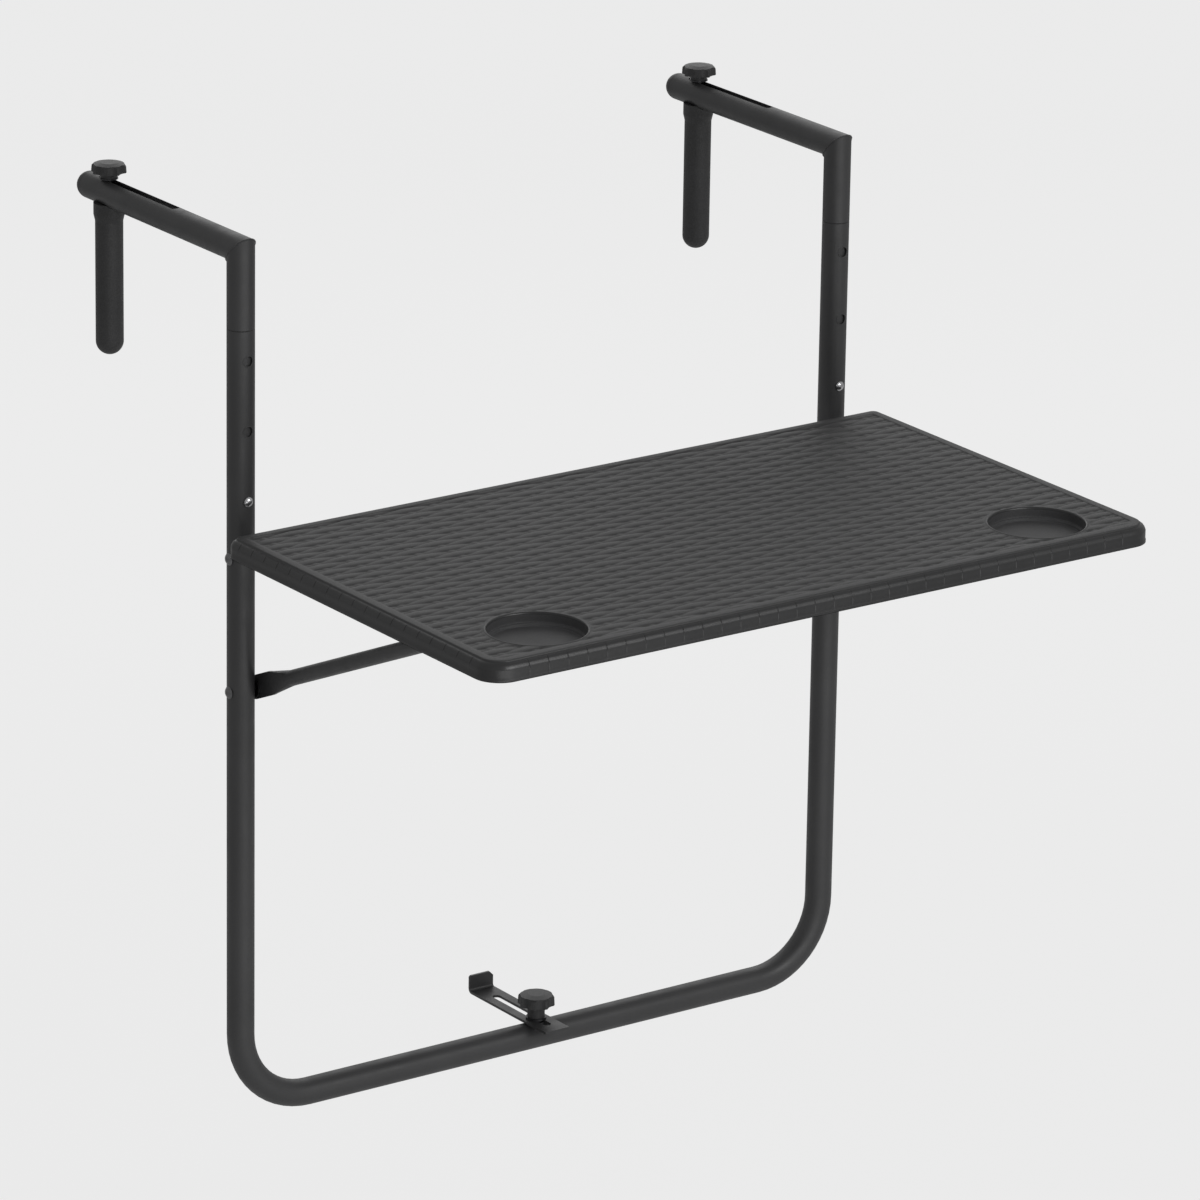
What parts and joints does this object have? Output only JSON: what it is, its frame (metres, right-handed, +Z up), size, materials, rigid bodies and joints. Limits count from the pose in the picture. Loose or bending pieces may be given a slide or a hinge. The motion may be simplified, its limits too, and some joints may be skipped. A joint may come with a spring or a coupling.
{
  "type": "folding balcony railing table",
  "caption": "Folding table on a bent tube frame that hangs from a balcony railing by two hooks with sliding pegs; round cup wells in the moulded top.",
  "frame": {"origin": "inside corner of the hooks, where the top front edge of the railing sits, midway between them", "axes": "+X along the railing to the right as seen from the table, +Y over the railing away from the user, +Z up"},
  "size_m": [0.6, 0.5864, 0.71],
  "materials": {
    "frame_tube": "satin powder coat",
    "support_tube": "satin powder coat",
    "end_plug": "fine matte",
    "peg_moulding": "fine sand texture",
    "knob_moulding": "fine matte",
    "top_moulding": "moulded weave relief, matte",
    "saddle_moulding": "fine matte",
    "bracket_steel": "satin powder coat",
    "rivet_steel": "domed rivet, dull bright",
    "button_steel": "dull bright",
    "zinc_steel": "zinc plated",
    "spring_steel": "blued spring strip",
    "insert_brass": "turned"
  },
  "bodies": {
    "frame": {"lower_frame": "frame_tube", "table_rivets": "rivet_steel", "support_rivets": "rivet_steel", "pivot_washers": "zinc_steel", "bar_nut": "zinc_steel"},
    "table": {"tabletop": "top_moulding", "hinge_bracket_left": "bracket_steel", "hinge_bracket_right": "bracket_steel", "bracket_screws": "zinc_steel", "support_saddle_left": "saddle_moulding", "support_saddle_right": "saddle_moulding", "saddle_screws": "zinc_steel"},
    "support": {"support_bar": "support_tube"},
    "clamp_slide": {"clamp_plate": "bracket_steel"},
    "clamp_knob": {"clamp_knob": "knob_moulding", "clamp_stud": "zinc_steel", "clamp_washer": "zinc_steel"},
    "hook_left": {"hook_post_left": "frame_tube", "hook_arm_left": "frame_tube", "arm_plug_left": "end_plug", "snap_clip_left": "spring_steel"},
    "button_left": {"snap_button_left": "button_steel"},
    "peg_left": {"peg_left": "peg_moulding", "peg_insert_left": "insert_brass"},
    "knob_left": {"peg_knob_left": "knob_moulding", "peg_stud_left": "zinc_steel", "peg_washer_left": "zinc_steel"},
    "hook_right": {"hook_post_right": "frame_tube", "hook_arm_right": "frame_tube", "arm_plug_right": "end_plug", "snap_clip_right": "spring_steel"},
    "button_right": {"snap_button_right": "button_steel"},
    "peg_right": {"peg_right": "peg_moulding", "peg_insert_right": "insert_brass"},
    "knob_right": {"peg_knob_right": "knob_moulding", "peg_stud_right": "zinc_steel", "peg_washer_right": "zinc_steel"}
  },
  "joints": [
    {"name": "table_fold", "type": "hinge", "parent": "frame", "child": "table", "pos_m": [0, -0.0105, -0.226], "axis": [1, 0, 0], "range_deg": [0, 90]},
    {"name": "support_fold", "type": "hinge", "parent": "frame", "child": "support", "pos_m": [0, -0.0105, -0.3305], "axis": [1, 0, 0], "range_deg": [0, 113.86]},
    {"name": "hook_height_left", "type": "slide", "parent": "frame", "child": "hook_left", "axis": [0, 0, 1], "range_m": [0, 0.108], "deforming": ["snap_button_left"]},
    {"name": "button_press_left", "type": "slide", "parent": "hook_left", "child": "button_left", "axis": [0, 1, 0], "range_m": [0, 0.0045], "stiffness_N_per_m": 400, "springref_m": -0.003, "deforming": ["snap_clip_left"]},
    {"name": "peg_slide_left", "type": "slide", "parent": "hook_left", "child": "peg_left", "axis": [0, 1, 0], "range_m": [-0.093, 0.008]},
    {"name": "peg_knob_turn_left", "type": "hinge", "parent": "peg_left", "child": "knob_left", "pos_m": [-0.2725, 0.172, 0.027], "axis": [0, 0, 1], "range_deg": [0, 720]},
    {"name": "hook_height_right", "type": "slide", "parent": "frame", "child": "hook_right", "axis": [0, 0, 1], "range_m": [0, 0.108], "deforming": ["snap_button_right"]},
    {"name": "button_press_right", "type": "slide", "parent": "hook_right", "child": "button_right", "axis": [0, 1, 0], "range_m": [0, 0.0045], "stiffness_N_per_m": 400, "springref_m": -0.003, "deforming": ["snap_clip_right"]},
    {"name": "peg_slide_right", "type": "slide", "parent": "hook_right", "child": "peg_right", "axis": [0, 1, 0], "range_m": [-0.093, 0.008]},
    {"name": "peg_knob_turn_right", "type": "hinge", "parent": "peg_right", "child": "knob_right", "pos_m": [0.2725, 0.172, 0.027], "axis": [0, 0, 1], "range_deg": [0, 720]},
    {"name": "clamp_plate_slide", "type": "slide", "parent": "frame", "child": "clamp_slide", "axis": [0, 1, 0], "range_m": [-0.054, 0.015]},
    {"name": "clamp_knob_turn", "type": "hinge", "parent": "frame", "child": "clamp_knob", "pos_m": [0, -0.0105, -0.64], "axis": [0, 0, 1], "range_deg": [0, 720]}
  ],
  "couplings": [
    {"joint": "support_fold", "follows": "table_fold", "ratio": 1.2649}
  ]
}
